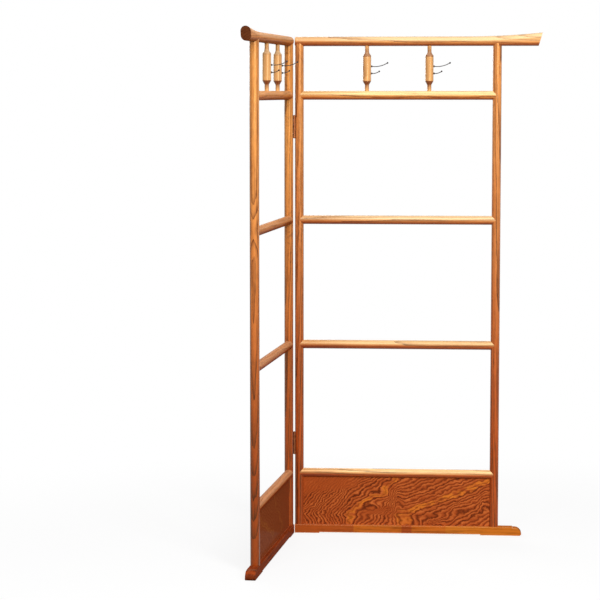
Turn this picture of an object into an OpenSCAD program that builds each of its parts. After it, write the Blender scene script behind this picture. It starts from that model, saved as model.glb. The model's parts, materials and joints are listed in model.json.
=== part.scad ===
// Two-leaf folding garment stand of turned and polished wood.
// Each leaf is a ladder of round rails on a moulded foot, with swivelling
// hook spindles under the top rail. Two butt hinges join the leaves.
// Millimetres. +Z is up and the feet stand on z = 0.

/* [Pose] */
// Angle between the two leaves, measured on the side they fold towards
open_angle = 94.6; // [30:0.1:170]
// Turn of the hooks on the right leaf, from the leaf's outer end
right_hook_turn = 0; // [-180:1:180]
// Turn of the hooks on the left leaf, from the leaf's outer end
left_hook_turn = -120; // [-180:1:180]

/* [Leaf] */
// Height of the top rail's axis above the floor
top_rail_z = 1622; // [1200:1:1900]
// Drop from the top rail's axis to the hook rail's axis
hook_rail_drop = 175; // [140:1:220]
// Drop from the hook rail's axis to the upper hanging rail's axis
upper_rail_drop = 406.5; // [300:0.5:450]
// Drop from the upper to the middle hanging rail's axis
middle_rail_drop = 411; // [300:1:450]
// Height of the axis of the rail that caps the board
board_rail_z = 201.5; // [150:0.5:260]
// Distance from the fold axis to the inner post's axis, along the leaf
post_inset = 15.2; // [14.8:0.1:30]
// Distance between the axes of a leaf's two posts
post_spacing = 644; // [500:1:900]
// Distance from the fold axis to the leaves' middle planes
pin_offset = 16; // [15.8:0.1:30]

/* [Posts and rails] */
// Diameter of the posts
post_d = 29; // [24:0.5:29]
// Diameter of the cross rails
rail_d = 29; // [20:0.5:36]
// Diameter of the round tenons on posts and rails
tenon_d = 16; // [10:0.5:18]
// Length of the rail tenons inside the posts
tenon_len = 12; // [6:0.5:13]
// Reach of the post tenons above the top rail's axis
top_tenon_rise = 6; // [2:0.5:8]
// Length of the post tenons inside the foot
foot_tenon_len = 17; // [8:0.5:20]
// Space left beyond the end of a tenon or a board edge
end_space = 1; // [0.5:0.1:2]
// Clearance around glued and fitted wooden joints
fit_gap = 0.1; // [0.05:0.01:0.3]

/* [Top rail] */
// Diameter of the top rail
top_rail_d = 31; // [22:0.5:31]
// Distance from the fold axis to the top rail's square inner end
top_rail_start = 0.8; // [0.5:0.1:10]
// Distance from the fold axis to the upper corner of the raised tip
tip_x = 805; // [700:1:1000]
// Length over which the upper side sweeps up to the tip
flare_len = 245; // [120:1:300]
// Height that the upper side gains at the tip
flare_rise = 12.5; // [6:0.25:30]
// Slant of the tip's end face from vertical
tip_slant = 16.6; // [5:0.1:30]
// Radius that softens the square inner end
end_round = 3.5; // [1:0.25:6]

/* [Board] */
// Thickness of the board
board_t = 6; // [4:0.5:12]
// Depth of the grooves that hold the board
groove_depth = 4; // [2:0.5:5]

/* [Foot] */
// Height of the foot rail
foot_h = 28.5; // [22:0.5:40]
// Depth of the foot rail, front to back
foot_depth = 31; // [26:0.5:33]
// Distance from the fold axis to the foot's square inner end
foot_start = 0.6; // [0.5:0.1:10]
// Distance from the fold axis to the foot's outer end
foot_end = 750; // [690:1:900]
// Height of the relief between the two pads
relief_h = 3; // [1:0.5:6]
// Length of the inner pad
inner_pad_len = 82; // [50:1:150]
// Length of the outer pad
outer_pad_len = 135; // [60:1:200]
// Radius of the quarter-round moulding on the outer end
ovolo_r = 22.5; // [10:0.5:24]
// Width of the small level ledge above the moulding
ledge_w = 7; // [3:0.5:12]
// Drop from the foot's top to the ledge
ledge_drop = 2.5; // [1:0.25:4]
// Radius that softens the foot's long edges
foot_edge_r = 2; // [0.5:0.25:4]
// Size of the chamfer under the foot's outer end
toe_chamfer = 5; // [1:0.5:8]

/* [Spindles] */
// Distance from the inner post's axis to the first spindle
spindle_inset = 221; // [120:1:250]
// Distance between a leaf's two spindles
spindle_pitch = 203; // [170:1:260]
// Diameter of the spindle's body
spindle_d = 27; // [20:0.5:30]
// Diameter of the spindle's necks
neck_d = 13.6; // [8:0.1:16]
// Length of the upper neck between the taper and the top rail
upper_neck_len = 19; // [8:0.25:30]
// Length of the lower neck between the taper and the hook rail
lower_neck_len = 19.5; // [8:0.25:35]
// Length of the taper from body to upper neck
upper_taper_len = 12; // [6:0.5:14]
// Length of the taper from body to lower neck
lower_taper_len = 12; // [6:0.5:14]
// Depth of the lower neck inside the hook rail
lower_seat = 14; // [8:0.5:18]
// Depth of the upper neck inside the top rail
upper_seat = 14; // [8:0.5:18]
// Running clearance around a neck in its bore
run_gap = 0.08; // [0.03:0.01:0.1]
// Gap under a neck at its bore's end
seat_gap = 0.3; // [0.1:0.05:0.6]

/* [Hooks] */
// Diameter of the hook wire
wire_d = 2.6; // [2:0.1:4]
// Distance from the spindle's axis to the upper hook's tip
upper_reach = 67; // [45:0.5:90]
// Height that the upper hook gains at its tip
upper_lift = 11; // [4:0.5:20]
// Height of the upper hook's root above the middle of the spindle's body
upper_root_rise = 7; // [5:0.5:25]
// Distance from the spindle's axis to the lower hook's tip
lower_reach = 40; // [30:0.5:60]
// Height that the lower hook gains at its tip
lower_lift = 6.5; // [3:0.5:12]
// Depth of the lower hook's root below the middle of the spindle's body
lower_root_drop = 16; // [5:0.5:25]
// Downward slope of a hook where it leaves the spindle
hook_dip = 9; // [0:0.5:20]
// Diameter of the ball on a hook's tip
ball_d = 5.6; // [4:0.1:9]
// Diameter of the ferrule at a hook's root
ferrule_d = 6; // [4:0.1:9]
// Length of the ferrule outside the spindle
ferrule_len = 4; // [2:0.25:8]
// Depth of the ferrule inside the spindle
ferrule_sink = 1.5; // [0.5:0.25:3]
// Depth of the wire inside the spindle
wire_sink = 9; // [5:0.25:11]

/* [Hinges] */
// Drop from the hook rail's axis to the upper hinge's middle
upper_hinge_drop = 102; // [65:1:250]
// Height of the lower hinge's middle above the board rail's axis
lower_hinge_rise = 100.5; // [65:0.5:250]
// Length of a hinge
hinge_len = 75; // [50:0.5:100]
// Number of knuckles, odd
knuckles = 5; // [3:2:7]
// Gap between neighbouring knuckles
knuckle_gap = 0.3; // [0.2:0.05:0.6]
// Diameter of the knuckles
barrel_d = 7.6; // [6:0.1:10]
// Diameter of the hinge pin
pin_d = 3.6; // [2.5:0.1:5]
// Running clearance around the hinge pin
pin_gap = 0.05; // [0.02:0.01:0.1]
// Diameter of the pin's heads
pin_head_d = 6; // [4.5:0.1:8]
// Height of the pin's heads
pin_head_h = 1; // [1:0.1:4]
// Thickness of the hinge plates
plate_t = 1.6; // [1.2:0.1:2.4]
// Width of the hinge plates, from the fold axis
plate_w = 24.5; // [22:0.5:30]
// Distance from the knuckle's outside to the back of its plate
plate_set = 0.1; // [0.05:0.05:0.4]
// Space between a plate and the other leaf's knuckles
knuckle_space = 0.4; // [0.3:0.1:1]
// Number of screws in a plate
hinge_screws = 3; // [2:1:4]
// Distance between neighbouring screws
screw_pitch = 26; // [15:0.5:30]
// Diameter of a screw's shank
screw_d = 3.2; // [2.5:0.1:4]
// Diameter of a screw's countersunk head
screw_head_d = 6.2; // [5:0.1:8]
// Length of a screw
screw_len = 13; // [8:0.5:15]
// Width of the slot in a screw's head
slot_w = 0.8; // [0.5:0.1:1.2]
// Depth of the slot in a screw's head
slot_depth = 0.7; // [0.4:0.1:1]

/* [Hidden] */
$fn = 96;
// colours
top_tone = [0.80, 0.47, 0.22];
rail_tone = [0.78, 0.44, 0.20];
post_tone = [0.72, 0.38, 0.17];
board_tone = [0.65, 0.32, 0.12];
foot_tone = [0.70, 0.36, 0.15];
spindle_tone = [0.76, 0.44, 0.22];
hook_tone = [0.35, 0.35, 0.37];
hinge_tone = [0.30, 0.20, 0.14];
pin_tone = [0.36, 0.25, 0.17];
screw_tone = [0.40, 0.28, 0.18];
cut = 1;
post_r = post_d / 2;
rail_r = rail_d / 2;
top_r = top_rail_d / 2;
spindle_r = spindle_d / 2;
barrel_r = barrel_d / 2;
hook_rail_z = top_rail_z - hook_rail_drop;
upper_rail_z = hook_rail_z - upper_rail_drop;
middle_rail_z = upper_rail_z - middle_rail_drop;
upper_hinge_z = hook_rail_z - upper_hinge_drop;
lower_hinge_z = board_rail_z + lower_hinge_rise;
outer_x = post_inset + post_spacing;
inner_spindle_x = post_inset + spindle_inset;
outer_spindle_x = inner_spindle_x + spindle_pitch;
// top rail sweep
flare_x = tip_x - flare_len;
flare_r = (flare_len * flare_len + flare_rise * flare_rise) / (2 * flare_rise) + top_r;
flare_turn = asin(flare_len / (flare_r - top_r));
tip_z = top_rail_z + top_r + flare_rise;
// board
board_x = post_inset + post_r - groove_depth;
board_len = post_spacing - 2 * (post_r - groove_depth);
board_z = foot_h - groove_depth;
board_top = board_rail_z - rail_r + groove_depth;
// foot
ovolo_x = foot_end - ovolo_r;
ovolo_z = foot_h - ledge_drop - ovolo_r;
// spindle heights
spindle_base = hook_rail_z + rail_r - lower_seat;
spindle_top = top_rail_z - top_r + upper_seat;
body_z = hook_rail_z + rail_r + lower_neck_len + lower_taper_len;
body_top = top_rail_z - top_r - upper_neck_len - upper_taper_len;
body_mid = (body_z + body_top) / 2;
upper_root_z = body_mid + upper_root_rise;
lower_root_z = body_mid - lower_root_drop;
// hinge plates
plate_back = barrel_r - plate_set;
plate_front = plate_back - plate_t;
knuckle_pitch = hinge_len / knuckles;
// placing: the origin is on the floor, under the middle of the standing part's bounds
swing = 180 - open_angle;
tip_tan = tan(tip_slant);
tip_side_x = tip_x - top_r * tip_tan;
x_low = -tip_side_x * cos(swing) - pin_offset * sin(swing)
  - top_r * sqrt(pow(tip_tan * cos(swing), 2) + pow(sin(swing), 2));
y_low = -tip_side_x * sin(swing) + pin_offset * cos(swing)
  - top_r * sqrt(pow(tip_tan * sin(swing), 2) + pow(cos(swing), 2));
y_high = pin_offset + max(foot_depth, post_d, top_rail_d) / 2;
axis_x = -(x_low + tip_x) / 2;
axis_y = -(y_low + y_high) / 2;

// places a leaf's pieces: x runs outward from the fold axis, y = 0 is the leaf's
// middle plane and -y is the side that the leaves fold towards
module on_right() {
  translate([axis_x, axis_y + pin_offset, 0])
    children();
}

module on_left() {
  translate([axis_x, axis_y, 0])
    rotate([0, 0, swing])
      translate([0, pin_offset, 0])
        mirror([1, 0, 0])
          children();
}

// a round bar along x
module bar_x(x, z, d, len) {
  translate([x, 0, z])
    rotate([0, 90, 0])
      cylinder(d = d, h = len);
}

// the two posts' outer surfaces with their clearance, for scribing the rails
module post_envelopes(z, tall) {
  for (x = [post_inset, outer_x])
    translate([x, 0, z - tall / 2])
      cylinder(d = post_d + 2 * fit_gap, h = tall);
}

module cross_rail(z) {
  difference() {
    bar_x(post_inset, z, rail_d, post_spacing);
    post_envelopes(z, rail_d + 2 * cut);
  }
  bar_x(post_inset + post_r - tenon_len, z, tenon_d, post_spacing - 2 * (post_r - tenon_len));
}

module hook_rail() {
  difference() {
    cross_rail(hook_rail_z);
    for (x = [inner_spindle_x, outer_spindle_x])
      translate([x, 0, spindle_base - seat_gap])
        cylinder(d = neck_d + 2 * run_gap, h = lower_seat + seat_gap + cut);
  }
}

module board_rail() {
  difference() {
    cross_rail(board_rail_z);
    board_groove();
  }
}

// the room that the board needs in the pieces around it
module board_groove() {
  translate([board_x - end_space, -board_t / 2 - fit_gap, board_z - end_space])
    cube([board_len + 2 * end_space, board_t + 2 * fit_gap, board_top - board_z + 2 * end_space]);
}

module board() {
  translate([board_x, -board_t / 2, board_z])
    cube([board_len, board_t, board_top - board_z]);
}

// bores for the rail tenons, from the leaf's inside into one post
module tenon_bores(x, side) {
  for (z = [hook_rail_z, upper_rail_z, middle_rail_z, board_rail_z])
    translate([x + side * (post_r - tenon_len - end_space), 0, z])
      rotate([0, side * 90, 0])
        cylinder(d = tenon_d + 2 * fit_gap, h = tenon_len + end_space + cut);
}

// a post: scribed under the top rail, with round tenons into rail and foot
module post(x, side) {
  difference() {
    translate([x, 0, foot_h])
      cylinder(d = post_d, h = top_rail_z - foot_h);
    bar_x(x - post_d, top_rail_z, top_rail_d + 2 * fit_gap, 2 * post_d);
    tenon_bores(x, side);
    board_groove();
  }
  translate([x, 0, top_rail_z - top_r - cut])
    cylinder(d = tenon_d, h = top_r + cut + top_tenon_rise);
  translate([x, 0, foot_h - foot_tenon_len])
    cylinder(d = tenon_d, h = foot_tenon_len + cut);
}

module inner_post() {
  difference() {
    post(post_inset, 1);
    for (z = [lower_hinge_z, upper_hinge_z])
      hinge_seat(z);
  }
}

module outer_post() {
  post(outer_x, -1);
}

// the flat that a hinge plate lies on, with the screws' holes
module hinge_seat(z) {
  translate([plate_back - post_d, -post_d, z - hinge_len / 2 - knuckle_gap])
    cube([post_d, 2 * post_d, hinge_len + 2 * knuckle_gap]);
  screw_row(z)
    cylinder(d = screw_d + 2 * fit_gap, h = screw_len + end_space);
}

// sets its child at each screw of a plate, pointing into the post
module screw_row(z) {
  for (i = [0 : hinge_screws - 1])
    translate([plate_front, 0, z + (i - (hinge_screws - 1) / 2) * screw_pitch])
      rotate([0, 90, 0])
        children();
}

// the straight part of the top rail, with a softened square end
module top_bar() {
  translate([top_rail_start, 0, top_rail_z])
    rotate([0, 90, 0])
      rotate_extrude()
        difference() {
          square([top_r, flare_x - top_rail_start]);
          translate([top_r - end_round, 0])
            difference() {
              translate([0, -cut])
                square([end_round + cut, end_round + cut]);
              translate([0, end_round])
                circle(r = end_round);
            }
        }
}

// the sweeping part: level underside, flat sides, upper side bent upward
module top_sweep() {
  centre_z = top_rail_z + flare_r;
  bar_half_below();
  difference() {
    translate([flare_x, -top_r, top_rail_z])
      cube([flare_len, top_rail_d, 2 * top_r + flare_rise]);
    translate([flare_x, top_rail_d, centre_z])
      rotate([90, 0, 0])
        cylinder(r = flare_r, h = 2 * top_rail_d, $fn = 720);
  }
  translate([flare_x, 0, centre_z])
    rotate([90, 0, 0])
      rotate([0, 0, -90])
        rotate_extrude(angle = flare_turn + 1, $fn = 720)
          translate([flare_r, 0])
            intersection() {
              circle(r = top_r, $fn = 96);
              translate([-top_rail_d, -top_rail_d])
                square([top_rail_d, 2 * top_rail_d]);
            }
}

module bar_half_below() {
  intersection() {
    bar_x(flare_x, top_rail_z, top_rail_d, flare_len);
    translate([flare_x, -top_rail_d, top_rail_z - top_rail_d])
      cube([flare_len, 2 * top_rail_d, top_rail_d]);
  }
}

module top_rail() {
  difference() {
    union() {
      top_bar();
      top_sweep();
    }
    translate([tip_x, 0, tip_z])
      rotate([0, tip_slant, 0])
        translate([0, -top_rail_d, -4 * top_rail_d])
          cube([4 * top_rail_d, 2 * top_rail_d, 8 * top_rail_d]);
    for (x = [post_inset, outer_x])
      translate([x, 0, top_rail_z - top_rail_d])
        cylinder(d = tenon_d + 2 * fit_gap, h = top_rail_d + top_tenon_rise + end_space);
    for (x = [inner_spindle_x, outer_spindle_x])
      translate([x, 0, top_rail_z - top_rail_d])
        cylinder(d = neck_d + 2 * run_gap, h = spindle_top - top_rail_z + top_rail_d + seat_gap);
  }
}

// side view of the foot: two pads, and a ledge, quarter-round and chamfer on the outer end
module foot_side() {
  difference() {
    translate([foot_start, 0])
      square([foot_end - foot_start, foot_h]);
    translate([foot_start + inner_pad_len, -cut])
      square([foot_end - foot_start - inner_pad_len - outer_pad_len, relief_h + cut]);
    translate([ovolo_x - ledge_w, foot_h - ledge_drop])
      square([foot_end, foot_h]);
    difference() {
      translate([ovolo_x, ovolo_z])
        square([ovolo_r + cut, ovolo_r + cut]);
      translate([ovolo_x, ovolo_z])
        circle(r = ovolo_r);
    }
    translate([foot_end, 0])
      rotate(45)
        square(sqrt(2) * toe_chamfer, center = true);
  }
}

// end view of the foot: a block with softened upper edges
module foot_section() {
  translate([-foot_depth / 2, 0])
    square([foot_depth, foot_h - foot_edge_r]);
  translate([-foot_depth / 2 + foot_edge_r, 0])
    square([foot_depth - 2 * foot_edge_r, foot_h]);
  for (y = [-1, 1])
    translate([y * (foot_depth / 2 - foot_edge_r), foot_h - foot_edge_r])
      circle(r = foot_edge_r);
}

module foot() {
  difference() {
    intersection() {
      translate([0, foot_depth / 2, 0])
        rotate([90, 0, 0])
          linear_extrude(height = foot_depth)
            foot_side();
      translate([foot_start, 0, 0])
        rotate([90, 0, 90])
          linear_extrude(height = foot_end - foot_start)
            foot_section();
    }
    for (x = [post_inset, outer_x])
      translate([x, 0, foot_h - foot_tenon_len - end_space])
        cylinder(d = tenon_d + 2 * fit_gap, h = foot_tenon_len + end_space + cut);
    board_groove();
  }
}

// a turned spindle: body between two necks that run in the rails
module spindle(x, turn) {
  neck_r = neck_d / 2;
  shoulder = spindle_r - neck_r;
  translate([x, 0, 0])
    difference() {
      rotate_extrude()
        polygon([
          [0, spindle_base],
          [neck_r, spindle_base],
          [neck_r, body_z - lower_taper_len],
          [spindle_r - 0.12 * shoulder, body_z - 0.15 * lower_taper_len],
          [spindle_r, body_z],
          [spindle_r, body_top],
          [spindle_r - 0.15 * shoulder, body_top + 0.17 * upper_taper_len],
          [neck_r + 0.3 * shoulder, body_top + 0.55 * upper_taper_len],
          [neck_r, body_top + upper_taper_len],
          [neck_r, spindle_top],
          [0, spindle_top]
        ]);
      for (root_z = [upper_root_z, lower_root_z])
        hook_place(turn, root_z)
          hook_shank(fit_gap, end_space);
    }
}

// sets its child at a hook's root on the spindle, x running outward along the dip
module hook_place(turn, root_z) {
  rotate([0, 0, turn])
    translate([spindle_r, 0, root_z])
      rotate([0, hook_dip, 0])
        children();
}

// the straight wire and ferrule inside the spindle
module hook_shank(gap, extra) {
  translate([-wire_sink - extra, 0, 0])
    rotate([0, 90, 0])
      cylinder(d = wire_d + 2 * gap, h = wire_sink + extra);
  translate([-ferrule_sink, 0, 0])
    rotate([0, 90, 0])
      cylinder(d = ferrule_d + 2 * gap, h = ferrule_sink + ferrule_len);
}

// one wire hook: ferrule, wire bent in one arc, ball on the tip
module hook(x, turn, root_z, reach, lift) {
  rise_angle = atan2(lift, reach - spindle_r);
  chord = sqrt(pow(lift, 2) + pow(reach - spindle_r, 2));
  bend = 2 * (rise_angle + hook_dip);
  bend_r = chord / (2 * sin(bend / 2));
  translate([x, 0, 0])
    hook_place(turn, root_z) {
      hook_shank(0, 0);
      translate([0, 0, bend_r])
        rotate([90, 0, 0])
          rotate([0, 0, -90])
            rotate_extrude(angle = bend, $fn = 360)
              translate([bend_r, 0])
                circle(d = wire_d, $fn = 32);
      translate([bend_r * sin(bend), 0, bend_r * (1 - cos(bend))])
        sphere(d = ball_d);
    }
}

module upper_hook(x, turn) {
  hook(x, turn, upper_root_z, upper_reach, upper_lift);
}

module lower_hook(x, turn) {
  hook(x, turn, lower_root_z, lower_reach, lower_lift);
}

// one hinge plate with every second knuckle, beginning at the given one
module hinge_plate(z, first) {
  difference() {
    union() {
      translate([plate_front, -pin_offset + barrel_r + knuckle_space, z - hinge_len / 2])
        cube([plate_t, plate_w - barrel_r - knuckle_space, hinge_len]);
      for (i = [first : 2 : knuckles - 1])
        translate([0, -pin_offset, z - hinge_len / 2 + i * knuckle_pitch + knuckle_gap / 2]) {
          cylinder(d = barrel_d, h = knuckle_pitch - knuckle_gap);
          translate([plate_front, 0, 0])
            cube([plate_t, barrel_r + knuckle_space + cut, knuckle_pitch - knuckle_gap]);
        }
    }
    translate([0, -pin_offset, z - hinge_len / 2 - cut])
      cylinder(d = pin_d + 2 * pin_gap, h = hinge_len + 2 * cut);
    screw_row(z) {
      translate([0, 0, -cut])
        cylinder(d = screw_d + 2 * fit_gap, h = plate_t + 2 * cut);
      screw_head(fit_gap);
    }
  }
}

// the countersunk part of a screw, as deep as the plate lets it be
module screw_head(gap) {
  cylinder(d1 = screw_head_d + 2 * gap, d2 = screw_d + 2 * gap, h = (screw_head_d - screw_d) / 2);
}

module hinge_screw_set(z) {
  difference() {
    screw_row(z) {
      screw_head(0);
      cylinder(d = screw_d, h = screw_len);
    }
    screw_row(z)
      translate([-slot_w / 2, -screw_head_d, -cut])
        cube([slot_w, 2 * screw_head_d, slot_depth + cut]);
  }
}

module hinge_pin(z) {
  low = z - hinge_len / 2 + knuckle_gap / 2;
  high = z + hinge_len / 2 - knuckle_gap / 2;
  translate([0, -pin_offset, low])
    cylinder(d = pin_d, h = high - low);
  translate([0, -pin_offset, high])
    cylinder(d1 = pin_head_d, d2 = pin_d, h = pin_head_h);
  translate([0, -pin_offset, low - pin_head_h])
    cylinder(d1 = pin_d, d2 = pin_head_d, h = pin_head_h);
}

module right_top_rail() color(top_tone) on_right() top_rail();
module right_hook_rail() color(rail_tone) on_right() hook_rail();
module right_upper_rail() color(rail_tone) on_right() cross_rail(upper_rail_z);
module right_middle_rail() color(rail_tone) on_right() cross_rail(middle_rail_z);
module right_board_rail() color(rail_tone) on_right() board_rail();
module right_inner_post() color(post_tone) on_right() inner_post();
module right_outer_post() color(post_tone) on_right() outer_post();
module right_board() color(board_tone) on_right() board();
module right_foot() color(foot_tone) on_right() foot();
module left_top_rail() color(top_tone) on_left() top_rail();
module left_hook_rail() color(rail_tone) on_left() hook_rail();
module left_upper_rail() color(rail_tone) on_left() cross_rail(upper_rail_z);
module left_middle_rail() color(rail_tone) on_left() cross_rail(middle_rail_z);
module left_board_rail() color(rail_tone) on_left() board_rail();
module left_inner_post() color(post_tone) on_left() inner_post();
module left_outer_post() color(post_tone) on_left() outer_post();
module left_board() color(board_tone) on_left() board();
module left_foot() color(foot_tone) on_left() foot();

module right_inner_spindle() color(spindle_tone) on_right() spindle(inner_spindle_x, right_hook_turn);
module right_inner_upper_hook() color(hook_tone) on_right() upper_hook(inner_spindle_x, right_hook_turn);
module right_inner_lower_hook() color(hook_tone) on_right() lower_hook(inner_spindle_x, right_hook_turn);
module right_outer_spindle() color(spindle_tone) on_right() spindle(outer_spindle_x, right_hook_turn);
module right_outer_upper_hook() color(hook_tone) on_right() upper_hook(outer_spindle_x, right_hook_turn);
module right_outer_lower_hook() color(hook_tone) on_right() lower_hook(outer_spindle_x, right_hook_turn);
module left_inner_spindle() color(spindle_tone) on_left() spindle(inner_spindle_x, left_hook_turn);
module left_inner_upper_hook() color(hook_tone) on_left() upper_hook(inner_spindle_x, left_hook_turn);
module left_inner_lower_hook() color(hook_tone) on_left() lower_hook(inner_spindle_x, left_hook_turn);
module left_outer_spindle() color(spindle_tone) on_left() spindle(outer_spindle_x, left_hook_turn);
module left_outer_upper_hook() color(hook_tone) on_left() upper_hook(outer_spindle_x, left_hook_turn);
module left_outer_lower_hook() color(hook_tone) on_left() lower_hook(outer_spindle_x, left_hook_turn);

module upper_hinge_right_plate() color(hinge_tone) on_right() hinge_plate(upper_hinge_z, 0);
module upper_hinge_left_plate() color(hinge_tone) on_left() hinge_plate(upper_hinge_z, 1);
module upper_hinge_pin() color(pin_tone) on_right() hinge_pin(upper_hinge_z);
module upper_hinge_right_screws() color(screw_tone) on_right() hinge_screw_set(upper_hinge_z);
module upper_hinge_left_screws() color(screw_tone) on_left() hinge_screw_set(upper_hinge_z);
module lower_hinge_right_plate() color(hinge_tone) on_right() hinge_plate(lower_hinge_z, 0);
module lower_hinge_left_plate() color(hinge_tone) on_left() hinge_plate(lower_hinge_z, 1);
module lower_hinge_pin() color(pin_tone) on_right() hinge_pin(lower_hinge_z);
module lower_hinge_right_screws() color(screw_tone) on_right() hinge_screw_set(lower_hinge_z);
module lower_hinge_left_screws() color(screw_tone) on_left() hinge_screw_set(lower_hinge_z);

right_top_rail();
right_hook_rail();
right_upper_rail();
right_middle_rail();
right_board_rail();
right_inner_post();
right_outer_post();
right_board();
right_foot();
left_top_rail();
left_hook_rail();
left_upper_rail();
left_middle_rail();
left_board_rail();
left_inner_post();
left_outer_post();
left_board();
left_foot();
right_inner_spindle();
right_inner_upper_hook();
right_inner_lower_hook();
right_outer_spindle();
right_outer_upper_hook();
right_outer_lower_hook();
left_inner_spindle();
left_inner_upper_hook();
left_inner_lower_hook();
left_outer_spindle();
left_outer_upper_hook();
left_outer_lower_hook();
upper_hinge_right_plate();
upper_hinge_left_plate();
upper_hinge_pin();
upper_hinge_right_screws();
upper_hinge_left_screws();
lower_hinge_right_plate();
lower_hinge_left_plate();
lower_hinge_pin();
lower_hinge_right_screws();
lower_hinge_left_screws();
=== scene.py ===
"""Looks of the folding kimono stand: lacquered wood, steel hooks, bronze hinges, a pale studio.

Everything is in metres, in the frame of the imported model. Materials read a leaf's own coordinates:
x along the leaf from the fold axis, y across it and z up. These are measured at rest and ride with
the leaf.
"""
import json
import math

import bpy
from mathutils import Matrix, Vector


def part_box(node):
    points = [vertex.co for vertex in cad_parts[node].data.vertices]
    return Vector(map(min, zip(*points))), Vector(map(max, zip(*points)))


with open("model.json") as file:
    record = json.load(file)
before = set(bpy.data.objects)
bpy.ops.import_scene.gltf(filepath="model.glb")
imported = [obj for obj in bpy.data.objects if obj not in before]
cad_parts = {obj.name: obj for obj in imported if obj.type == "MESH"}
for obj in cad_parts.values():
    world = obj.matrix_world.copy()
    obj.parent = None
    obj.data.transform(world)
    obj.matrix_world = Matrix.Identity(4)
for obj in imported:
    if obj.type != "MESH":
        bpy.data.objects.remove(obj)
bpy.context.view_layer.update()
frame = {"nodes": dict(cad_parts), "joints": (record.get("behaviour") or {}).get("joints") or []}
NODES = frame["nodes"]
MM = 0.001

# ------------------------------------------------------------------ places taken from the frame
FOLD = next(joint for joint in frame["joints"] if joint["name"] == "leaf_fold")
AXIS = Vector(FOLD["pos_m"])
# turning the left leaf by the joint's lowest angle lays both leaves in one line
LEAF_ANGLE = {"right": 0.0, "left": math.pi - math.radians(FOLD["range_deg"][0])}


def leaf_place(point, side):
    """A point of the frame in the coordinates of one leaf."""
    offset = Vector(point) - AXIS
    turn = -LEAF_ANGLE[side]
    return Vector((
        offset.x * math.cos(turn) - offset.y * math.sin(turn),
        offset.x * math.sin(turn) + offset.y * math.cos(turn),
        offset.z,
    ))


def leaf_centre(node, side):
    """The middle of a node, in the coordinates of its leaf."""
    low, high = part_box(node)
    return leaf_place((low + high) / 2, side)


# ------------------------------------------------------------------ arithmetic written as nodes
def srgb(red, green, blue):
    """An 8-bit colour as it is seen, turned into the linear values that shaders use."""
    seen = (channel / 255 for channel in (red, green, blue))
    return tuple(c / 12.92 if c <= 0.04045 else ((c + 0.055) / 1.055) ** 2.4 for c in seen)


# a noise texture's values lie around its middle, and the gain brings most of them to -1 to 1
NOISE_MIDDLE = 0.5
NOISE_GAIN = 3.0
# sockets of the colour mixing node, which has others of the same names for numbers and vectors
MIX_COLOURS = (6, 7)
MIX_RESULT = 2
# rays that look for an edge, and how nearly alike the normals are at an edge and on the flat
EDGE_SAMPLES = 6
EDGE_ALIKE = (0.85, 0.99)


class Field:
    """One number at each point of a surface. Its arithmetic goes into the material's node tree."""

    def __init__(self, tree, socket):
        self.tree = tree
        self.socket = socket

    def op(self, kind, *others, clamp=False):
        """What a Math node of this kind makes of the field and the other values."""
        node = self.tree.new("Math")
        node.operation = kind
        node.use_clamp = clamp
        for place, value in enumerate((self, *others)):
            self.tree.feed(node.inputs[place], value)
        return Field(self.tree, node.outputs[0])

    def __add__(self, other):
        return self.op("ADD", other)

    def __sub__(self, other):
        return self.op("SUBTRACT", other)

    def __mul__(self, other):
        return self.op("MULTIPLY", other)

    def __truediv__(self, other):
        return self.op("DIVIDE", other)

    def __pow__(self, other):
        return self.op("POWER", other)

    def __neg__(self):
        return self.op("MULTIPLY", -1.0)

    def __abs__(self):
        return self.op("ABSOLUTE")

    __radd__ = __add__

    def __rsub__(self, other):
        return (-self) + other

    def clamp(self):
        """The same number, held between 0 and 1."""
        return self.op("ADD", 0.0, clamp=True)

    def rise(self, start, end):
        """0 below start, 1 above end and a smooth step between them."""
        node = self.tree.new("MapRange")
        node.interpolation_type = "SMOOTHSTEP"
        for name, value in (("Value", self), ("From Min", start), ("From Max", end)):
            self.tree.feed(node.inputs[name], value)
        return Field(self.tree, node.outputs["Result"])

    def band(self, start, full, fading, end):
        """1 from full to fading and 0 outside start and end, with smooth steps between them."""
        return self.rise(start, full) * (1.0 - self.rise(fading, end))


def over(field, level):
    """How far a field lies above a level, and 0 below it."""
    return (field - level).op("MAXIMUM", 0.0)


def bell(*offsets):
    """1 where every offset is 0, falling smoothly to nearly 0 where one of them is 2."""
    squares = [offset * offset for offset in offsets]
    return (-sum(squares[1:], squares[0])).op("EXPONENT")


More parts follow.
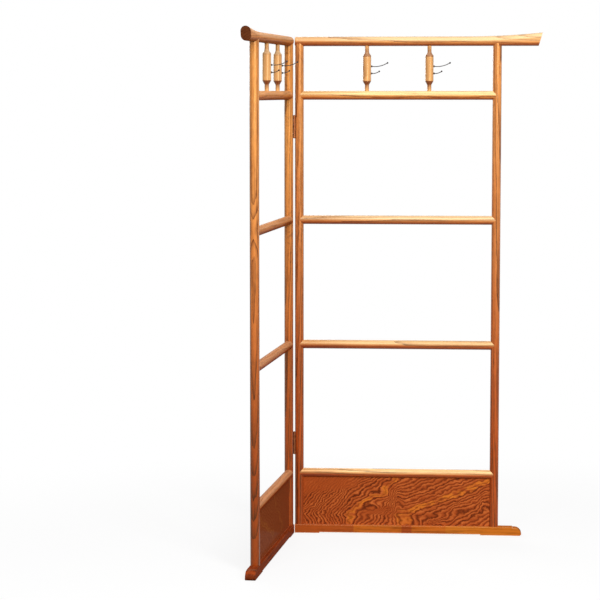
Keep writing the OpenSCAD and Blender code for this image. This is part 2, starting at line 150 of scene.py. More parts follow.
class Tree:
    """The node tree of one material."""

    def __init__(self, name):
        self.material = bpy.data.materials.new(name)
        self.material.use_nodes = True
        self.nodes = self.material.node_tree.nodes
        self.links = self.material.node_tree.links
        self.nodes.clear()
        self.output = self.new("OutputMaterial")
        self.coordinates = self.new("TexCoord")

    def new(self, kind):
        """A new shader node, named without its prefix."""
        return self.nodes.new("ShaderNode" + kind)

    def feed(self, socket, value):
        """Links a field or a socket to an input, or writes a plain value into it."""
        if isinstance(value, Field):
            value = value.socket
        if isinstance(value, bpy.types.NodeSocket):
            self.links.new(value, socket)
        else:
            socket.default_value = value

    def split(self, vector):
        """The three numbers of a vector, as fields."""
        node = self.new("SeparateXYZ")
        self.feed(node.inputs[0], vector)
        return [Field(self, socket) for socket in node.outputs]

    def join(self, x, y, z):
        """A vector made of three fields."""
        node = self.new("CombineXYZ")
        for socket, value in zip(node.inputs, (x, y, z)):
            self.feed(socket, value)
        return node.outputs[0]

    def leaf_point(self, side):
        """Leaf coordinates of the shaded point, in metres."""
        node = self.new("Mapping")
        node.vector_type = "TEXTURE"
        self.feed(node.inputs["Vector"], self.coordinates.outputs["Object"])
        node.inputs["Location"].default_value = AXIS
        node.inputs["Rotation"].default_value = (0, 0, LEAF_ANGLE[side])
        return self.split(node.outputs[0])

    def noise(self, vector, scale, detail=2.0):
        """Three independent fields of noise, each from about -1 to 1; scale is in waves per metre."""
        stretch = self.new("Mapping")
        self.feed(stretch.inputs["Vector"], vector)
        stretch.inputs["Scale"].default_value = scale
        node = self.new("TexNoise")
        self.feed(node.inputs["Vector"], stretch.outputs[0])
        node.inputs["Scale"].default_value = 1.0
        node.inputs["Detail"].default_value = detail
        return [(field - NOISE_MIDDLE) * NOISE_GAIN for field in self.split(node.outputs["Color"])]

    def per_ring(self, ring, seed):
        """A number from 0 to 1 that is the same all through one growth ring."""
        node = self.new("TexWhiteNoise")
        node.noise_dimensions = "1D"
        self.feed(node.inputs["W"], ring.op("FLOOR") + seed)
        return Field(self, node.outputs["Value"])

    def mix(self, share, first, second, blend="MIX"):
        """The first colour where share is 0 and the second, or the blend of both, where it is 1."""
        node = self.new("Mix")
        node.data_type = "RGBA"
        node.blend_type = blend
        self.feed(node.inputs["Factor"], share)
        for place, value in zip(MIX_COLOURS, (first, second)):
            self.feed(node.inputs[place], (*value, 1.0) if isinstance(value, tuple) else value)
        return node.outputs[MIX_RESULT]

    def stain(self, share, colour, factor):
        """The colour itself where share is 0, and multiplied by the factor where it is 1."""
        return self.mix(share, colour, self.mix(1.0, colour, factor, "MULTIPLY"))

    def facing(self, direction):
        """How squarely the surface faces a direction or its opposite, from 0 to 1."""
        node = self.new("VectorMath")
        node.operation = "DOT_PRODUCT"
        self.feed(node.inputs[0], self.coordinates.outputs["Normal"])
        node.inputs[1].default_value = direction
        return abs(Field(self, node.outputs["Value"]))

    def near_edge(self, radius):
        """1 at a sharp edge and 0 on the flat beside it."""
        bevel = self.new("Bevel")
        bevel.samples = EDGE_SAMPLES
        bevel.inputs["Radius"].default_value = radius
        flat = self.new("NewGeometry")
        node = self.new("VectorMath")
        node.operation = "DOT_PRODUCT"
        self.feed(node.inputs[0], bevel.outputs[0])
        self.feed(node.inputs[1], flat.outputs["Normal"])
        return 1.0 - Field(self, node.outputs["Value"]).rise(*EDGE_ALIKE)

    def bump(self, height, depth):
        """A normal for a surface whose height field is scaled by a depth in metres."""
        node = self.new("Bump")
        node.inputs["Strength"].default_value = 1.0
        node.inputs["Distance"].default_value = depth
        self.feed(node.inputs["Height"], height)
        return node.outputs[0]

    def surface(self, **values):
        """The shader itself; a name such as base_color is its socket Base Color."""
        node = self.new("BsdfPrincipled")
        sockets = {socket.name.lower().replace(" ", "_"): socket for socket in node.inputs}
        for name, value in values.items():
            self.feed(sockets[name], (*value, 1.0) if isinstance(value, tuple) else value)
        self.links.new(node.outputs[0], self.output.inputs[0])
        return self.material


# ------------------------------------------------------------------ wood
# colours of the wood and of the lines between its growth rings, near the floor and at the top;
# the change from red-brown below to golden above is painted light falling from above
PALE_IN_PAINTED_SHADE = srgb(172, 74, 26)
PALE_IN_PAINTED_LIGHT = srgb(210, 138, 76)
LINE_IN_PAINTED_SHADE = srgb(78, 30, 12)
LINE_IN_PAINTED_LIGHT = srgb(106, 50, 22)
PAINTED_LIGHT_HEIGHTS = (0.2, 1.6)
# a piece with painted light on its sides and top, partly also rub wear, and painted shade on
# its underside
PAINTED_LIGHT_AND_RUB_SIDES = srgb(216, 182, 124)
PAINTED_LIGHT_AND_RUB_TOP = srgb(234, 200, 150)
PAINTED_SHADE_UNDER = srgb(150, 64, 8)
# how far upward a surface faces where these three take over, from -1 to 1
PAINTED_LIGHT_AND_RUB_FROM = (-0.35, 0.45)
PAINTED_LIGHT_AND_RUB_TOP_FROM = (-0.1, 0.5)
PAINTED_SHADE_UNDER_FROM = (0.1, 0.7)
# how much of the grain's dark keeps a place from taking the painted light and rub wear
GRAIN_KEPT = 0.65
# pale edges of a foot, partly edge wear and partly a painted highlight, which end where its
# moulded toe begins
PALE_EDGE_WEAR_AND_HIGHLIGHT = srgb(242, 190, 148)
EDGE_WIDTH = 4.0 * MM
TOE = (0.70, 0.75)
# factors that multiply a colour, and the places where they come in
RED_END = (0.72, 0.52, 0.38)
RED_END_PLACE = (0.05, 0.26)
END_GRAIN = (0.15, 0.115, 0.10)
# painted shade: the wood darker towards the floor, and the heights over which it fades out
PAINTED_FLOOR_SHADE = (0.3, 0.2, 0.0)
PAINTED_FLOOR_SHADE_HEIGHTS = (0.15, 0.95)
WARM = (1.0, 0.82, 0.58)
# painted shade, partly also stain, on a spindle's necks
NECK_SHADE_AND_STAIN = (0.42, 0.30, 0.26)
SHOULDER_SHADE_AND_STAIN = (0.50, 0.40, 0.43)
# where the painted shade, partly also stain, begins, is full, fades and ends, in millimetres
# above the lowest and the highest point of a spindle's body
NECK_BAND = (-30, -8, 1, 3)
SHOULDER_BAND = (-5, -2, 6, 36)
# width over which one glued length gives way to the next
GLUE_LINE = 1 * MM
# noise in the wood, in waves per metre: twice across the fibres, then along them
WANDER = (11, 11, 2.2)
STREAKS = (120, 120, 7)
FINE_STREAKS = (330, 330, 5)
HAIRS = (900, 900, 22)
FLECKS = (170, 170, 45)
RIPPLES = (60, 60, 110)
# how far the noise is moved along the fibres from one piece to the next, and the ripples' slant
PIECE_SHIFT = 0.7
RIPPLE_SLANT = 1.4
# levels of a noise or a line between which something comes in
FINE_FROM = (0.05, 0.6)
HAIRS_FROM = (0.35, 0.9)
PORES_IN_LINES = (0.15, 0.7)
RIPPLES_FROM = (0.0, 0.5)
RIPPLED_PATCHES = (-0.1, 0.5)
# rings: how far the streaks shake them, how thin their lines are and how unlike one another
RING_SHAKE = 0.22
LINE_THINNESS = 2.6
LINE_STRENGTHS = (-0.5, 0.8)
WOOD_SEED = 3.0
# how much pores, streaks and slow drift add to the dark colour
PORE_SHARE = 0.3
STREAK_SHARE = 0.25
DRIFT_SHARE = 0.15
# how much of the warm factor there is everywhere, and how far the noise changes that
WARM_SHARE, WARM_SPREAD = 0.2, 0.6
# tints of the lacquer's reflection, and the clear coat on it
LACQUER_TINT = (1.0, 0.74, 0.30)
WORN_TINT = (1.0, 0.82, 0.50)
RAIL_TINT = (1.0, 0.88, 0.62)
COAT_ROUGHNESS = 0.16
# the wood's surface: how much rougher drift, pores and end grain make it, and how far streaks
# stand out and lines and pores sink in, in parts of its relief
WOOD_ROUGHNESS = 0.30
DRIFT_ROUGH, PORE_ROUGH, END_ROUGH = 0.03, 0.12, 0.2
WOOD_RELIEF = 0.05 * MM
STREAK_HEIGHT, LINE_DEPTH, PORE_DEPTH = 0.25, 0.4, 0.5


def lacquer(tree, colour, rough, height, gloss, coat, tint=LACQUER_TINT):
    """A soft amber lacquer over the wood."""
    return tree.surface(
        base_color=colour,
        roughness=rough,
        normal=tree.bump(height, WOOD_RELIEF),
        specular_ior_level=gloss,
        specular_tint=tint,
        coat_weight=coat,
        coat_roughness=COAT_ROUGHNESS,
    )


def paint_light_rub_and_shade(tree, colour, dark, light_and_rub):
    """Painted light and rub wear on top, less where the grain is dark; painted shade underneath."""
    upward = tree.split(tree.coordinates.outputs["Normal"])[2]
    lit_and_rubbed_colour = tree.mix(upward.rise(*PAINTED_LIGHT_AND_RUB_TOP_FROM), PAINTED_LIGHT_AND_RUB_SIDES, PAINTED_LIGHT_AND_RUB_TOP)
    share = upward.rise(*PAINTED_LIGHT_AND_RUB_FROM) * light_and_rub * (1.0 - dark * GRAIN_KEPT).clamp()
    colour = tree.mix(share, colour, lit_and_rubbed_colour)
    return tree.mix((-upward).rise(*PAINTED_SHADE_UNDER_FROM) * light_and_rub, colour, PAINTED_SHADE_UNDER)


def turned_shade_and_stains(tree, colour, up, body, shoulder):
    """Painted shade, partly stain, on a spindle's necks right below and above its thick body."""
    low, top = body
    below = up.band(*(low + step * MM for step in NECK_BAND))
    above = up.band(*(top + step * MM for step in SHOULDER_BAND))
    return tree.stain(above * shoulder, tree.stain(below, colour, NECK_SHADE_AND_STAIN), SHOULDER_SHADE_AND_STAIN)


def timber(name, side, grain, centre, heart, pitch, contrast, taper=0.02, sway=4.0, swells=(),
           curl=0.0, streaks=0.35, mottled=0.22, light_and_rub=0.0, red_end=0.0, body=None, shoulder=1.0,
           lengths=(), edge=0.0, end_turn=(0.75, 0.95), end_dark=1.0, dim=0.0, gloss=0.42,
           coat=0.10, tint=LACQUER_TINT, tone=(1.0, 1.0, 1.0)):
    """Wood of a long piece. grain is "up" or "along" the leaf, and centre is the piece's own middle.

    The log: heart is where its centre lies from the piece's axis, pitch the width of a growth ring
    and sway how far the rings wander, all in millimetres. taper is how fast the log narrows. Each
    swell is (middle and half length along the grain in metres, rings), and turns streaks into loops.
    contrast is how dark the rings' lines are, curl the ripple across the grain, and streaks and
    mottled are fine and coarse flecks.

    The marks: light_and_rub is painted light on top and painted shade underneath, the pale top
    partly also rub wear; red_end a darker, redder end near the fold; edge pale edges, partly wear
    and partly a painted highlight; dim how much darker the wood is near the floor, a painted shade.
    body holds the lowest and highest points of a spindle's thick body, with painted shade, partly
    also stain, below it and as strong as shoulder above it.
    lengths are the stretches of a glued piece. end_turn says how squarely a surface has to cut the
    fibres to look like end grain, and end_dark how dark that is.

    The lacquer: gloss and tint are the strength and colour of its reflection, coat is a clear layer
    on top, and tone multiplies the finished colour.
    """
    tree = Tree(name)
    along, across, up = tree.leaf_point(side)
    if grain == "up":
        run, first, second = up, along - centre.x, across - centre.y
        fibre = (0.0, 0.0, 1.0)
    else:
        run, first, second = along, across - centre.y, up - centre.z
        fibre = (math.cos(LEAF_ANGLE[side]), math.sin(LEAF_ANGLE[side]), 0.0)
    place = tree.join(first, second, run + centre.z * PIECE_SHIFT + centre.x)

    wander, wander_2, drift = tree.noise(place, WANDER, detail=1.5)
    shake, streak, blush = tree.noise(place, STREAKS, detail=3.0)
    a = first - heart[0] * MM + wander * (sway * MM)
    b = second - heart[1] * MM + wander_2 * (sway * MM)
    radius = (a * a + b * b) ** 0.5
    ring = (radius + run * taper) / (pitch * MM) + shake * RING_SHAKE
    for middle, half, rings in swells:
        ring = ring + bell((run - middle) / half) * rings
    strength = tree.per_ring(ring, WOOD_SEED).rise(*LINE_STRENGTHS)
    line = (1.0 - ring.op("FRACT")) ** LINE_THINNESS * strength
    fine = tree.noise(place, FINE_STREAKS)[0].rise(*FINE_FROM)
    pores = tree.noise(place, HAIRS)[0].rise(*HAIRS_FROM) * line.rise(*PORES_IN_LINES)
    mottle = tree.noise(place, FLECKS)[0]
    slanted = tree.join(first, second, run + first * RIPPLE_SLANT)
    ripple = tree.noise(slanted, RIPPLES, detail=1.5)[0].rise(*RIPPLES_FROM)
    ripple = ripple * wander.rise(*RIPPLED_PATCHES)
    end = tree.facing(fibre).rise(*end_turn)

    # golden high up and red-brown low down: painted light falling from above
    high = up.rise(*PAINTED_LIGHT_HEIGHTS)
    pale = tree.mix(high, PALE_IN_PAINTED_SHADE, PALE_IN_PAINTED_LIGHT)
    line_colour = tree.mix(high, LINE_IN_PAINTED_SHADE, LINE_IN_PAINTED_LIGHT)
    dark = line * contrast + fine * streaks + pores * PORE_SHARE
    dark = dark + streak * STREAK_SHARE + drift * DRIFT_SHARE
    dark = dark + mottle * mottled + ripple * high * curl
    colour = tree.mix(dark.clamp(), pale, line_colour)
    colour = tree.stain((blush * WARM_SPREAD + WARM_SHARE).clamp(), colour, WARM)
    for start, stop, shade in lengths:
        within = along.band(start, start + GLUE_LINE, stop, stop + GLUE_LINE)
        colour = tree.stain(within, colour, shade)
    # painted light on top, partly also rub wear, and painted shade underneath
    if light_and_rub:
        colour = paint_light_rub_and_shade(tree, colour, dark, light_and_rub)
    if red_end:
        colour = tree.stain((1.0 - along.rise(*RED_END_PLACE)) * red_end, colour, RED_END)
    # painted shade, partly also stain, below and above a spindle's body
    if body:
        colour = turned_shade_and_stains(tree, colour, up, body, shoulder)
    colour = tree.stain(end * end_dark, colour, END_GRAIN)
    # painted shade towards the floor
    if dim:
        colour = tree.stain((1.0 - up.rise(*PAINTED_FLOOR_SHADE_HEIGHTS)) * dim, colour, PAINTED_FLOOR_SHADE)
    colour = tree.mix(1.0, colour, tone, "MULTIPLY")
    # pale edges, partly wear and partly a painted highlight
    if edge:
        pale_edges = tree.near_edge(EDGE_WIDTH) * (1.0 - along.rise(*TOE)) * edge
        colour = tree.mix(pale_edges, colour, PALE_EDGE_WEAR_AND_HIGHLIGHT)

    rough = WOOD_ROUGHNESS + drift * DRIFT_ROUGH + pores * PORE_ROUGH + end * END_ROUGH
    height = streak * STREAK_HEIGHT - line * LINE_DEPTH - pores * PORE_DEPTH
    return lacquer(tree, colour, rough, height, gloss, coat, tint)


# how each long piece was sawn from its log, how it has worn, and where light and shade are
# painted on it
RAIL = {"grain": "along", "taper": 0.012, "pitch": 9.0, "contrast": 1.0, "sway": 12.0}
POST = {"grain": "up", "pitch": 7.0, "contrast": 0.9, "streaks": 0.5, "sway": 6.0,
        "gloss": 0.38, "coat": 0.12}
SPINDLE = {"grain": "up", "pitch": 6.0, "contrast": 0.5, "heart": (10, 20), "light_and_rub": 0.6,
           "streaks": 0.2, "mottled": 0.06, "tint": WORN_TINT, "tone": (1.03, 1.12, 1.15)}
LEFT_SPINDLE = {**SPINDLE, "shoulder": 0.4}
PAINTED_LIGHT_AND_WEAR_RIGHT = {"light_and_rub": 0.9, "red_end": 0.7, "gloss": 0.35, "coat": 0.06, "tint": RAIL_TINT,
              "streaks": 0.2}
PAINTED_LIGHT_AND_WEAR_LEFT = {"light_and_rub": 0.5, "gloss": 0.0, "contrast": 0.5, "streaks": 0.2, "tone": (1.03, 0.84, 0.74)}
FOOT = {"contrast": 0.4, "gloss": 0.0, "coat": 0.03, "end_turn": (0.6, 1.0), "end_dark": 0.6}
# the right foot is glued up from lengths: start and end along the leaf in metres, and a shade
LENGTHS = (
    (0.0, 0.196, (0.78, 0.66, 1.0)),
    (0.355, 0.388, (0.80, 0.62, 1.0)),
    (0.500, 0.800, (1.06, 1.25, 1.15)),
)
PIECES = {
    "right_top_rail": {**RAIL, **PAINTED_LIGHT_AND_WEAR_RIGHT, "heart": (20, -30)},
    # the hook rail's lighter tone is a painted highlight
    "right_hook_rail": {**RAIL, **PAINTED_LIGHT_AND_WEAR_RIGHT, "heart": (-26, -22), "tone": (1.12, 1.2, 1.08)},
    "right_upper_rail": {**RAIL, **PAINTED_LIGHT_AND_WEAR_RIGHT, "heart": (18, 28)},
    "right_middle_rail": {**RAIL, **PAINTED_LIGHT_AND_WEAR_RIGHT, "heart": (30, -16), "tone": (1.02, 0.95, 0.82)},
    "right_board_rail": {**RAIL, **PAINTED_LIGHT_AND_WEAR_RIGHT, "heart": (-14, -34), "tone": (1.2, 1.13, 0.95)},
    "right_inner_post": {**POST, "heart": (22, 16), "curl": 0.4},
    "right_outer_post": {**POST, "heart": (-30, 24)},
    "right_foot": {**RAIL, **FOOT, "heart": (12, -60), "edge": 1.0, "lengths": LENGTHS,
                   "tone": (1.26, 1.85, 1.43)},
    "left_top_rail": {**RAIL, **PAINTED_LIGHT_AND_WEAR_LEFT, "heart": (16, -26), "tone": (1.13, 1.04, 1.10)},
    "left_hook_rail": {**RAIL, **PAINTED_LIGHT_AND_WEAR_LEFT, "heart": (-20, -24), "tone": (1.22, 1.02, 0.90)},
    "left_upper_rail": {**RAIL, **PAINTED_LIGHT_AND_WEAR_LEFT, "heart": (24, 22)},
    "left_middle_rail": {**RAIL, **PAINTED_LIGHT_AND_WEAR_LEFT, "heart": (-28, 18)},
    "left_board_rail": {**RAIL, **PAINTED_LIGHT_AND_WEAR_LEFT, "heart": (12, -36)},
    "left_inner_post": {**POST, "heart": (-16, 20), "curl": 0.6, "dim": 0.28,
                        "tone": (1.08, 1.12, 0.92)},
    "left_outer_post": {**POST, "heart": (-8, 0), "pitch": 3.2, "sway": 1.2, "contrast": 1.0,
                        "taper": 0.004, "swells": ((-0.25, 0.5, -8.5), (1.05, 0.06, -1.8)),
                        "dim": 0.5, "tone": (1.0, 1.05, 0.95)},
    "left_foot": {**RAIL, **FOOT, "heart": (-12, -50), "edge": 0.2, "tone": (0.74, 0.76, 1.1)},
    "right_inner_spindle": SPINDLE,
    "right_outer_spindle": SPINDLE,
    "left_inner_spindle": LEFT_SPINDLE,
    "left_outer_spindle": LEFT_SPINDLE,
}
# the thick body of a spindle is what reaches at least this share of its greatest radius
BODY_SHARE = 0.97


def paint(node, material):
    """Gives every material slot of a CAD node the same material."""
    piece = NODES[node]
    if not piece.material_slots:
        piece.data.materials.append(material)
    for slot in piece.material_slots:
        slot.material = material


def turned_body(node):
    """The lowest and highest points of the thick body of a spindle."""
    piece = NODES[node]
    points = [piece.matrix_world @ vertex.co for vertex in piece.data.vertices]
    low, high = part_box(node)
    middle = (low + high) / 2
    reach = [math.hypot(point.x - middle.x, point.y - middle.y) for point in points]
    wide = [point.z for point, radius in zip(points, reach) if radius > BODY_SHARE * max(reach)]
    return min(wide), max(wide)


for node, looks in PIECES.items():
    side = node.split("_")[0]
    body = turned_body(node) if node.endswith("spindle") else None
    paint(node, timber(node, side, centre=leaf_centre(node, side), body=body, **looks))


# ------------------------------------------------------------------ figured boards
BOARD_GROUND = srgb(156, 66, 24)
BOARD_LIGHT = srgb(206, 110, 52)
BOARD_LINE = srgb(72, 14, 0)
BOARD_AMBER = srgb(204, 110, 34)
# noise in a board, in waves per metre along, across and up
SLOW = (24, 20, 33)
QUICK = (83, 60, 111)
PATCHES = (30, 20, 65)
BOARD_HAIRS = (260, 200, 900)
# from here on millimetres: u along and v up from the board's lower corner near the fold, both
# moved by the slow and the quick noise
U_WANDER = (6.0, 4.4)
V_WANDER = (5.0, 3.8)
# growth rings stand upright and this wide at first, and change from each bend on by so many rings
# per millimetre
RING_WIDTH = 10.8
U_BENDS = ((150.0, 0.0336), (330.0, 0.026))
V_BEND, V_SLOPE = 36.0, 0.082
# below the bend in v they lean one way at the near end and the other way at the far end
LOW_SLOPE = 0.06
NEAR_END = (110.0, 200.0)
FAR_END = (400.0, 470.0)
# places where the rings bulge or dip: u, v, half length, half height, rings, tilt in degrees
BOARD_SWELLS = (
    (245, 58, 44, 17, -3.0, 8), (312, 80, 16, 40, 2.4, 0), (431, 8, 22, 9, 2.4, 0),
    (604, 90, 20, 40, 2.0, 0), (215, 26, 70, 15, -1.6, 0), (180, 130, 50, 18, 1.0, 20),
    (455, 34, 36, 10, -1.6, 4), (520, 62, 60, 18, 1.0, 18), (274, 102, 30, 16, -2.0, -20),
)
# how far the slow noise moves the rings, and how many of them one millimetre of depth crosses
RING_WANDER = 0.7
RINGS_DEEP = 0.35
# rings where the board is amber, and how many rings wide to each side
AMBER_RINGS = ((13.4, 0.7), (24.2, 1.2))
# the amber loses this share of itself towards the foot, and takes this share from the dark lines
AMBER_HEIGHTS = (15.0, 60.0)
AMBER_LOSS = 0.5
AMBER_OVER_LINES = 0.2
# where the figure is faint: the upper corner near the fold, and an eye (u, v, half length and height)
PLAIN = 0.7
CORNER_HEIGHTS = (100.0, 116.0)
CORNER_SLOPE = 0.1
CORNER_END = (150.0, 210.0)
PLAIN_EYE = (232.0, 48.0, 42.0, 10.0)
# middle and half width of the dark line and of the light band, in parts of a ring
LINE_PHASE = (0.3, 0.19)
LIGHT_PHASE = (0.72, 0.18)
# how unlike one another the dark lines are, and how strong light bands and hairs are
LINE_SPREAD = 0.45
LIGHT_SHARE = 0.75
HAIR_SHARE = 0.08
# light bands and amber come and go in patches: spread and level
LIGHT_PATCHES = (0.8, 0.6)
AMBER_PATCHES = (1.3, 0.6)
BOARD_SEED = 5.0
# the board's surface, as for the wood above
BOARD_ROUGHNESS = 0.42
BOARD_LINE_ROUGH, SLOW_ROUGH = 0.1, 0.03
LIGHT_HEIGHT, BOARD_LINE_DEPTH, HAIR_HEIGHT = 0.5, 0.5, 0.2


def board_rings(u, v):
    """The number of the growth ring at each point of a board's face."""
    ring = u / RING_WIDTH
    for bend, slope in U_BENDS:
        ring = ring - over(u, bend) * slope
    ring = ring - over(v, V_BEND) * V_SLOPE
    ring = ring + over(-v, -V_BEND) * LOW_SLOPE * (u.rise(*NEAR_END) - 1.0 + u.rise(*FAR_END))
    for middle, height, half_length, half_height, rings, tilt in BOARD_SWELLS:
        cosine, sine = math.cos(math.radians(tilt)), math.sin(math.radians(tilt))
        x, y = u - middle, v - height
        swell = bell((x * cosine + y * sine) / half_length, (y * cosine - x * sine) / half_height)
        ring = ring + swell * rings
    return ring


def figured_board(name, side, corner, figure=1.0, tone=(1.0, 1.0, 1.0), gloss=0.2, coat=0.04):
    """The wild figure of a board sawn across a burr: chevrons, tongues and two amber bands.

    corner is the board's lower corner near the fold, figure how strong all of it is, and tone,
    gloss and coat are as for timber.
    """
    tree = Tree(name)
    along, across, up = tree.leaf_point(side)
    place = tree.join(along, across, up)
    slow, slow_2, slow_3 = tree.noise(place, SLOW)
    quick, quick_2, _ = tree.noise(place, QUICK)
    patch = tree.noise(place, PATCHES)[2]
    hairs = tree.noise(place, BOARD_HAIRS)[0]
    u = (along - corner.x) / MM + slow * U_WANDER[0] + quick * U_WANDER[1]
    v = (up - corner.z) / MM + slow_2 * V_WANDER[0] + quick_2 * V_WANDER[1]
    depth = abs(across - corner.y) / MM
    ring = board_rings(u, v) + slow_3 * RING_WANDER + depth * RINGS_DEEP

    amber = 0.0
    for level, half in AMBER_RINGS:
        amber = ring.band(level - half, level - half / 2, level + half / 2, level + half) + amber
    amber = amber * (v.rise(*AMBER_HEIGHTS) * AMBER_LOSS + (1.0 - AMBER_LOSS))
    plain = (v - u * CORNER_SLOPE).rise(*CORNER_HEIGHTS) * (1.0 - u.rise(*CORNER_END)) * PLAIN
    eye_u, eye_v, eye_length, eye_height = PLAIN_EYE
    plain = plain + bell((u - eye_u) / eye_length, (v - eye_v) / eye_height) * PLAIN
    phase = ring.op("FRACT")
    line, light = (bell((phase - middle) / half) for middle, half in (LINE_PHASE, LIGHT_PHASE))
    line = line * (tree.per_ring(ring, BOARD_SEED) * LINE_SPREAD + (1.0 - LINE_SPREAD))
    line = line * (1.0 - plain) * (1.0 - amber * AMBER_OVER_LINES) * figure
    light_patch, amber_patch = (
        patch * spread + level for spread, level in (LIGHT_PATCHES, AMBER_PATCHES)
    )
    light = light * light_patch.clamp() * (1.0 - plain) * figure

    colour = tree.mix((light * LIGHT_SHARE).clamp(), BOARD_GROUND, BOARD_LIGHT)
    colour = tree.mix((amber * amber_patch * figure).clamp(), colour, BOARD_AMBER)
    colour = tree.mix((line + hairs * HAIR_SHARE).clamp(), colour, BOARD_LINE)
    colour = tree.mix(1.0, colour, tone, "MULTIPLY")
    rough = BOARD_ROUGHNESS + line * BOARD_LINE_ROUGH + slow * SLOW_ROUGH
    height = light * LIGHT_HEIGHT - line * BOARD_LINE_DEPTH + hairs * HAIR_HEIGHT
    return lacquer(tree, colour, rough, height, gloss, coat)


def board_corner(node, side):
    """The lower corner of a board nearest the fold, on the face seen from the front."""
    low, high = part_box(node)
    ends = [leaf_place(point, side) for point in (low, high)]
    front = min if side == "right" else max
    return Vector((min(point.x for point in ends), front(point.y for point in ends), low.z))


BOARDS = {
    "right": {},
    "left": {"figure": 0.2, "tone": (0.88, 1.2, 2.1), "gloss": 0.0, "coat": 0.03},
}
for side, looks in BOARDS.items():
    node = side + "_board"
    paint(node, figured_board(node, side, board_corner(node, side), **looks))


# ------------------------------------------------------------------ metal
# noise in old metal, in waves per metre
BROAD_WEAR = (90, 90, 90)
FINE_WEAR = (700, 700, 700)
METAL_RELIEF = 0.03 * MM
# how dull metal is on the whole, and how far the broad and the fine noise change that
DULL_LEVEL, BROAD_SHARE, FINE_SHARE = 0.5, 0.6, 0.25
DULL_ROUGH = 0.2


def metal(name, bright, dull, rough, patina):
    """Old metal: bright where it is rubbed and dull where it isn't, as far as patina says."""
    tree = Tree(name)
    point = tree.coordinates.outputs["Object"]
    broad, grime, _ = tree.noise(point, BROAD_WEAR, detail=4.0)
    fine = tree.noise(point, FINE_WEAR, detail=3.0)[0]
    dullness = (broad * BROAD_SHARE + fine * FINE_SHARE + DULL_LEVEL).clamp()
    colour = tree.mix(dullness * patina, bright, dull)
    return tree.surface(
        base_color=colour,
        metallic=1.0,
        roughness=rough + dullness * DULL_ROUGH,
        normal=tree.bump(fine * 0.5 + grime * 0.5, METAL_RELIEF),
    )


STEEL = metal("dark_steel", srgb(66, 60, 56), srgb(32, 29, 28), rough=0.30, patina=0.8)
BRONZE = metal("antique_bronze", srgb(150, 92, 58), srgb(86, 46, 28), rough=0.34, patina=0.8)
SCREW = metal("screw_bronze", srgb(176, 120, 78), srgb(96, 56, 36), rough=0.30, patina=0.6)
for node in NODES:
    if node.endswith(("upper_hook", "lower_hook")):
        paint(node, STEEL)
    elif node.endswith("_screws"):
        paint(node, SCREW)
    elif "_hinge_" in node:
        paint(node, BRONZE)


# ------------------------------------------------------------------ floor and world
FLOOR_HALF = 30.0
# distances from the object between which its shadow fades out, and how much of it the floor shows
SHADOW_NEAR, SHADOW_FAR = 0.9, 2.2
SHADOW_SHARE = 0.16
# the floor as it is seen and as it lights the object, and the light of the world
FLOOR_SEEN = (0.9, 0.9, 0.9)
FLOOR_LIGHTING = (0.16, 0.16, 0.16)
WORLD_LIGHTING = 0.18
WHITE = (1, 1, 1, 1)


def seen_directly(nodes, links):
    """1 for what the camera, a mirror or glass sees, and 0 for what lights the object."""
    path = nodes.new("ShaderNodeLightPath")
    total = path.outputs["Is Camera Ray"]
    for name in ("Is Glossy Ray", "Is Transmission Ray"):
        node = nodes.new("ShaderNodeMath")
        node.operation = "MAXIMUM"
        links.new(total, node.inputs[0])
        links.new(path.outputs[name], node.inputs[1])
        total = node.outputs[0]
    return total


def floor_material():
    """White with the object's shadow where it is seen, and duller for the light it throws back."""
    tree = Tree("floor_white")
    x, y, _ = tree.split(tree.coordinates.outputs["Object"])
    away = ((x * x + y * y) ** 0.5).rise(SHADOW_NEAR, SHADOW_FAR)
    seen = Field(tree, seen_directly(tree.nodes, tree.links))
    cloth = tree.new("BsdfDiffuse")
    tree.feed(cloth.inputs["Color"], tree.mix(seen, FLOOR_LIGHTING, FLOOR_SEEN))
    glow = tree.new("Emission")
    blend = tree.new("MixShader")
    tree.feed(blend.inputs[0], seen * ((1.0 - SHADOW_SHARE) + away * SHADOW_SHARE))
    tree.links.new(cloth.outputs[0], blend.inputs[1])
    tree.links.new(glow.outputs[0], blend.inputs[2])
    tree.links.new(blend.outputs[0], tree.output.inputs[0])
    return tree.material


floor_mesh = bpy.data.meshes.new("floor")
corners = [(-1, -1), (1, -1), (1, 1), (-1, 1)]
floor_mesh.from_pydata([(x * FLOOR_HALF, y * FLOOR_HALF, 0) for x, y in corners], [], [(0, 1, 2, 3)])
floor_mesh.materials.append(floor_material())
floor = bpy.data.objects.new("floor", floor_mesh)
bpy.context.scene.collection.objects.link(floor)

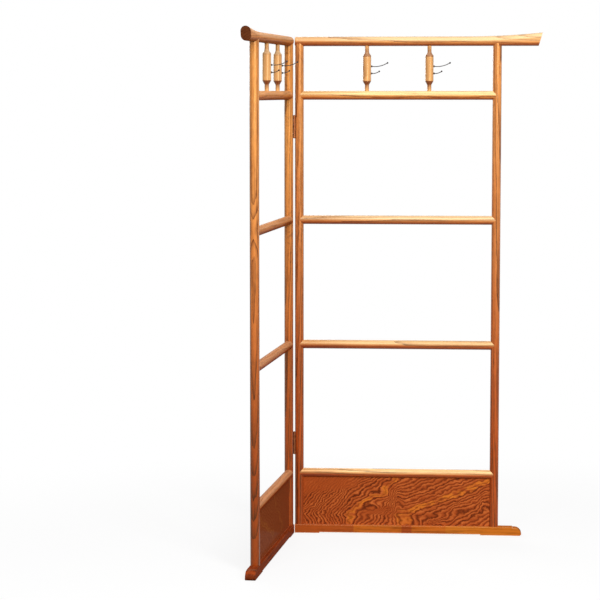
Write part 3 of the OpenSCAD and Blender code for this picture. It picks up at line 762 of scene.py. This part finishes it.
world = bpy.data.worlds.new("studio")
bpy.context.scene.world = world
world.use_nodes = True
nodes, links = world.node_tree.nodes, world.node_tree.links
nodes.clear()
sky = nodes.new("ShaderNodeBackground")
sky.inputs["Color"].default_value = WHITE
strength = nodes.new("ShaderNodeMapRange")
links.new(seen_directly(nodes, links), strength.inputs["Value"])
strength.inputs["To Min"].default_value = WORLD_LIGHTING
links.new(strength.outputs[0], sky.inputs["Strength"])
world_output = nodes.new("ShaderNodeOutputWorld")
links.new(sky.outputs[0], world_output.inputs[0])


# ------------------------------------------------------------------ lamps
def lamp(name, place, aim, size, watts):
    """A rectangular soft box."""
    data = bpy.data.lights.new(name, "AREA")
    data.shape = "RECTANGLE"
    data.size, data.size_y = size
    data.energy = watts
    box = bpy.data.objects.new(name, data)
    box.location = place
    box.rotation_euler = (Vector(aim) - Vector(place)).to_track_quat("-Z", "Y").to_euler()
    bpy.context.scene.collection.objects.link(box)


lamp("overhead", place=(0.1, -3.4, 3.5), aim=(0.0, 0.0, 1.2), size=(3.4, 2.4), watts=172)
lamp("right_front", place=(2.5, -5.2, 3.0), aim=(0.0, 0.0, 1.4), size=(1.1, 2.6), watts=182)
lamp("strip", place=(1.7, -4.8, 2.0), aim=(0.0, 0.0, 1.5), size=(0.4, 1.4), watts=55)
lamp("behind", place=(-1.6, 3.6, 2.4), aim=(0.0, 0.0, 0.9), size=(2.4, 2.0), watts=70)

# ------------------------------------------------------------------ camera
# fitted to edges of the photograph: place from the fold axis in metres, angles in degrees
FRAME_PIXELS = 600
FOCAL_PIXELS = 2242.9
SENSOR_WIDTH = 36.0
CAMERA_RIGHT, CAMERA_BACK, CAMERA_HEIGHT = 0.56641, 7.32699, 1.45823
CAMERA_DIP, CAMERA_TURN = 5.301, 4.276
SIGHT_END = 100
camera_data = bpy.data.cameras.new("photo_camera")
camera_data.sensor_width = SENSOR_WIDTH
camera_data.lens = SENSOR_WIDTH * FOCAL_PIXELS / FRAME_PIXELS
camera_data.clip_end = SIGHT_END
camera = bpy.data.objects.new("photo_camera", camera_data)
camera.location = (AXIS.x + CAMERA_RIGHT, AXIS.y - CAMERA_BACK, CAMERA_HEIGHT)
camera.rotation_euler = (math.radians(90 - CAMERA_DIP), 0, math.radians(CAMERA_TURN))
bpy.context.scene.collection.objects.link(camera)
bpy.context.scene.camera = camera
bpy.context.scene.view_settings.view_transform = "Standard"
